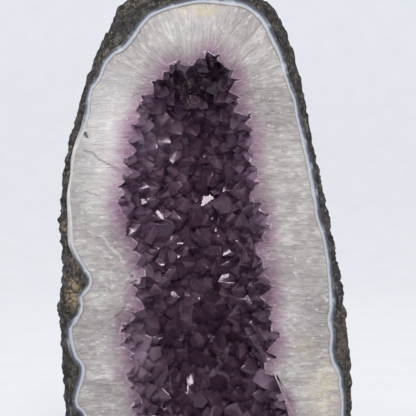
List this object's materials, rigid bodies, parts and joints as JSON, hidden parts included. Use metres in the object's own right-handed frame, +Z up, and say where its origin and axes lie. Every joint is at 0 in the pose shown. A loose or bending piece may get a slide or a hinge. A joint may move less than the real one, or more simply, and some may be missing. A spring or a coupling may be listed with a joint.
{
  "type": "amethyst geode",
  "caption": "Upright cathedral geode, sawn flat in front and below: dark basalt rind, pale agate band and milky quartz wall round a deep hollow lined with purple crystals.",
  "frame": {"origin": "on the surface that it stands on, under the middle of its width and depth", "axes": "+Z up, sawn front with the open hollow facing -Y, +X to the right as seen from the front"},
  "size_m": [0.197, 0.123, 0.3399],
  "materials": {
    "basalt": "matte",
    "agate": "satin",
    "milky_quartz": "satin",
    "amethyst": "gloss"
  },
  "bodies": {
    "root": {"basalt_rind": "basalt", "agate_band": "agate", "quartz_wall": "milky_quartz", "amethyst_crystals": "amethyst"}
  },
  "joints": []
}
